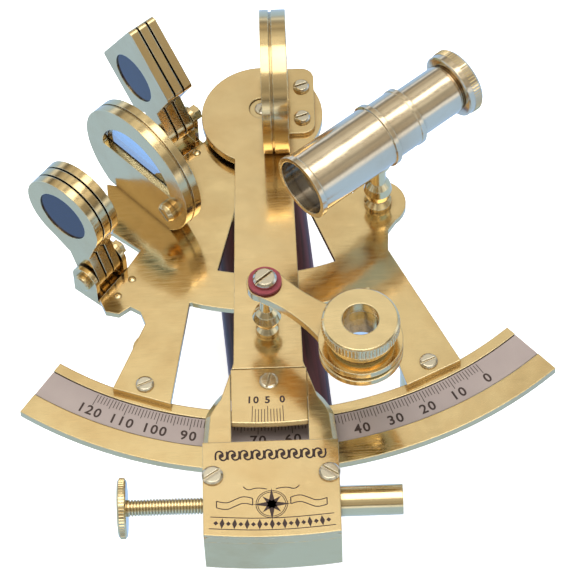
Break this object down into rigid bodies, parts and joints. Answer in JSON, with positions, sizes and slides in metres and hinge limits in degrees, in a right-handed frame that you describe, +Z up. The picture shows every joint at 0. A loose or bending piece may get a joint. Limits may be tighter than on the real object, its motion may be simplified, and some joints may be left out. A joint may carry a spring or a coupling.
{
  "type": "nautical sextant",
  "caption": "Brass desk sextant: graduated arc, pivoting index arm with tangent screw, two mirrors, hinged shades, small telescope and reading magnifier.",
  "frame": {"origin": "centre of the upper foot's rest face, on the index arm's pivot axis, at floor level", "axes": "+Z up out of the floor along the pivot axis, +Y from the graduated arc towards the pivot and on past it, +X towards the telescope side"},
  "size_m": [0.1224, 0.1337, 0.0723],
  "materials": {
    "brass": "polished and lacquered",
    "scale_metal": "satin, engraved",
    "wood": "oiled hardwood",
    "shade_glass": "dark blue, polished",
    "half_mirror": "lower half silvered",
    "mirror": "silvered",
    "clear_glass": "polished",
    "fibre": "matt pressed fibre",
    "spring_steel": "drawn wire"
  },
  "bodies": {
    "frame": {"limb": "brass", "scale_strip": "scale_metal", "frame_plate": "brass", "foot_screws": "brass", "pivot_axle": "brass", "pivot_screw": "brass", "leg_upper": "brass", "side_legs": "brass", "handle_grip": "wood", "handle_posts": "brass", "handle_screws": "brass", "telescope_post": "brass", "horizon_mirror_holder": "brass", "horizon_mirror_glass": "half_mirror", "horizon_retainer": "brass", "horizon_face_screw": "brass", "horizon_foot_screws": "brass", "horizon_shade_bracket": "brass", "index_shade_bracket": "brass", "shade_pins": "brass", "shade_nuts": "brass"},
    "arm": {"index_arm": "brass", "vernier_plate": "brass", "vernier_screw": "brass", "apron_plate": "brass", "apron_screws": "brass", "tangent_block": "brass", "spring_housing": "brass", "plunger_spring": "spring_steel", "index_mirror_holder": "brass", "index_mirror_glass": "mirror", "index_foot_screws": "brass", "magnifier_post": "brass", "fibre_washer": "fibre", "magnifier_screw": "brass"},
    "magnifier_swing": {"magnifier_arm": "brass"},
    "magnifier_barrel": {"magnifier_tube": "brass", "magnifier_lens": "clear_glass"},
    "telescope": {"telescope_barrel": "brass", "objective_lens": "clear_glass"},
    "eyepiece": {"draw_tube": "brass", "eye_lens": "clear_glass"},
    "clamp": {"clamp_shoe": "brass"},
    "clamp_thumbscrew": {"clamp_screw": "brass"},
    "pad": {"thrust_pad": "brass"},
    "tangent_screw": {"tangent_rod": "brass", "tangent_knob": "brass"},
    "plunger": {"spring_plunger": "brass"},
    "horizon_shade_1": {"horizon_shade_leaf_1": "brass", "horizon_shade_glass_1": "shade_glass"},
    "horizon_shade_2": {"horizon_shade_leaf_2": "brass", "horizon_shade_glass_2": "shade_glass"},
    "horizon_shade_3": {"horizon_shade_leaf_3": "brass", "horizon_shade_glass_3": "shade_glass"},
    "index_shade_1": {"index_shade_leaf_1": "brass", "index_shade_glass_1": "shade_glass"},
    "index_shade_2": {"index_shade_leaf_2": "brass", "index_shade_glass_2": "shade_glass"},
    "index_shade_3": {"index_shade_leaf_3": "brass", "index_shade_glass_3": "shade_glass"}
  },
  "joints": [
    {"name": "index_arm_swing", "type": "hinge", "parent": "frame", "child": "arm", "pos_m": [0, 0, 0.04], "axis": [0, 0, 1], "range_deg": [-15.5, 26.5]},
    {"name": "magnifier_swing", "type": "hinge", "parent": "arm", "child": "magnifier_swing", "pos_m": [-0.00358, -0.0641, 0.0587], "axis": [0, 0, 1], "range_deg": [-60, 25]},
    {"name": "magnifier_focus", "type": "slide", "parent": "magnifier_swing", "child": "magnifier_barrel", "axis": [0, 0, 1], "range_m": [-0.0008, 0.003]},
    {"name": "telescope_turn", "type": "hinge", "parent": "frame", "child": "telescope", "pos_m": [0.0252, -0.0283, 0.05], "axis": [0, 0, 1], "range_deg": [-12, 12]},
    {"name": "telescope_focus", "type": "slide", "parent": "telescope", "child": "eyepiece", "axis": [0.8181, 0.575, 0], "range_m": [-0.004, 0.005]},
    {"name": "clamp_creep", "type": "hinge", "parent": "arm", "child": "clamp", "pos_m": [0, 0, 0.033], "axis": [0, 0, 1], "range_deg": [-1.15, 1.15]},
    {"name": "clamp_screw_turn", "type": "hinge", "parent": "clamp", "child": "clamp_thumbscrew", "pos_m": [-0.00522, -0.09345, 0.025], "axis": [0, 0, 1], "range_deg": [-180, 180]},
    {"name": "tangent_feed", "type": "slide", "parent": "arm", "child": "pad", "axis": [0.9984, -0.0558, 0], "range_m": [-0.0021, 0.0021]},
    {"name": "tangent_turn", "type": "hinge", "parent": "pad", "child": "tangent_screw", "pos_m": [-0.02587, -0.10452, 0.033], "axis": [0.9984, -0.0558, 0], "range_deg": [-1080, 1080]},
    {"name": "plunger_follow", "type": "slide", "parent": "arm", "child": "plunger", "axis": [0.9984, -0.0558, 0], "range_m": [-0.0021, 0.0021]},
    {"name": "horizon_shade_1_swing", "type": "hinge", "parent": "frame", "child": "horizon_shade_1", "pos_m": [-0.041, -0.0427, 0.0412], "axis": [0.6884, 0.7254, 0], "range_deg": [-60, 30]},
    {"name": "horizon_shade_2_swing", "type": "hinge", "parent": "frame", "child": "horizon_shade_2", "pos_m": [-0.041, -0.0427, 0.0412], "axis": [0.6884, 0.7254, 0], "range_deg": [-60, 30]},
    {"name": "horizon_shade_3_swing", "type": "hinge", "parent": "frame", "child": "horizon_shade_3", "pos_m": [-0.041, -0.0427, 0.0412], "axis": [0.6884, 0.7254, 0], "range_deg": [-60, 30]},
    {"name": "index_shade_1_swing", "type": "hinge", "parent": "frame", "child": "index_shade_1", "pos_m": [-0.0214, -0.0051, 0.0428], "axis": [0.8121, 0.5835, 0], "range_deg": [-45, 36]},
    {"name": "index_shade_2_swing", "type": "hinge", "parent": "frame", "child": "index_shade_2", "pos_m": [-0.0214, -0.0051, 0.0428], "axis": [0.8121, 0.5835, 0], "range_deg": [-45, 36]},
    {"name": "index_shade_3_swing", "type": "hinge", "parent": "frame", "child": "index_shade_3", "pos_m": [-0.0214, -0.0051, 0.0428], "axis": [0.8121, 0.5835, 0], "range_deg": [-45, 36]}
  ],
  "couplings": [
    {"joint": "tangent_turn", "follows": "tangent_feed", "rad_per_m": 8976},
    {"joint": "plunger_follow", "follows": "tangent_feed", "ratio": 1},
    {"joint": "clamp_creep", "follows": "tangent_feed", "rad_per_m": 9.4518}
  ]
}
